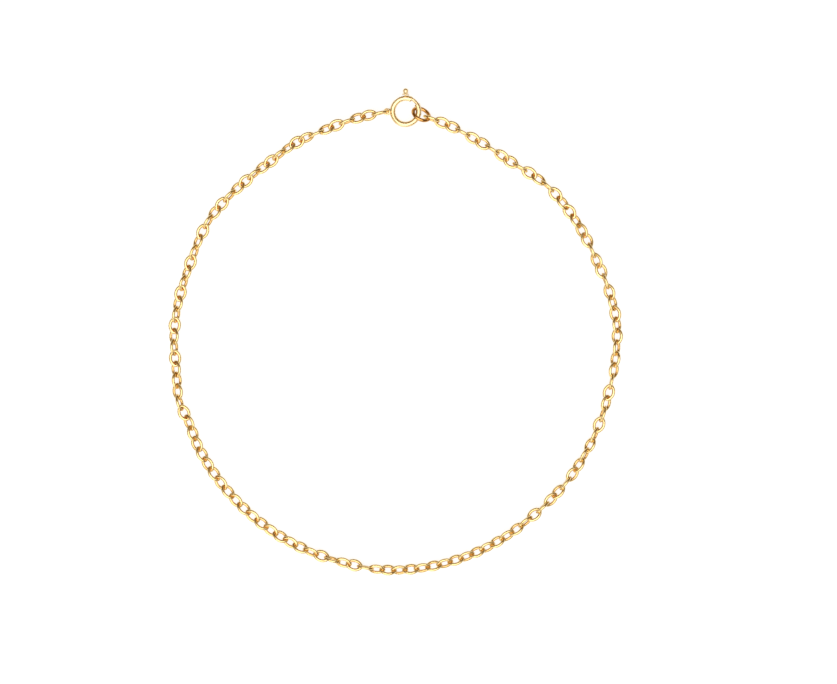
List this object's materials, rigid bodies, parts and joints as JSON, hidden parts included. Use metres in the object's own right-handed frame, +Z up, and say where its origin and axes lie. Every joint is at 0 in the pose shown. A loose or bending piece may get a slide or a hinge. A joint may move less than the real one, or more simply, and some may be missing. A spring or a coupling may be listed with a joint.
{
  "type": "chain anklet",
  "caption": "Fine yellow gold anklet of oval cable links, closed by a small round bolt ring clasp with a ball trigger and a round end loop.",
  "frame": {"origin": "on the table under the middle of the bounding box", "axes": "+Z up from the table, +Y across the loop towards the clasp"},
  "size_m": [0.083, 0.089, 0.003],
  "materials": {
    "link_gold": "polished yellow gold",
    "clasp_gold": "polished yellow gold",
    "loop_gold": "polished yellow gold"
  },
  "bodies": {
    "anklet": {"chain": "link_gold", "clasp_ring": "clasp_gold", "end_loop": "loop_gold"},
    "trigger": {"clasp_trigger": "clasp_gold"}
  },
  "joints": [
    {"name": "trigger_turn", "type": "hinge", "parent": "anklet", "child": "trigger", "pos_m": [0.00183, 0.04031, 0.0015], "axis": [-0.1392, 0, 0.9903], "range_deg": [0, 40], "stiffness_Nm_per_rad": 0.002, "springref_deg": -17.19}
  ]
}
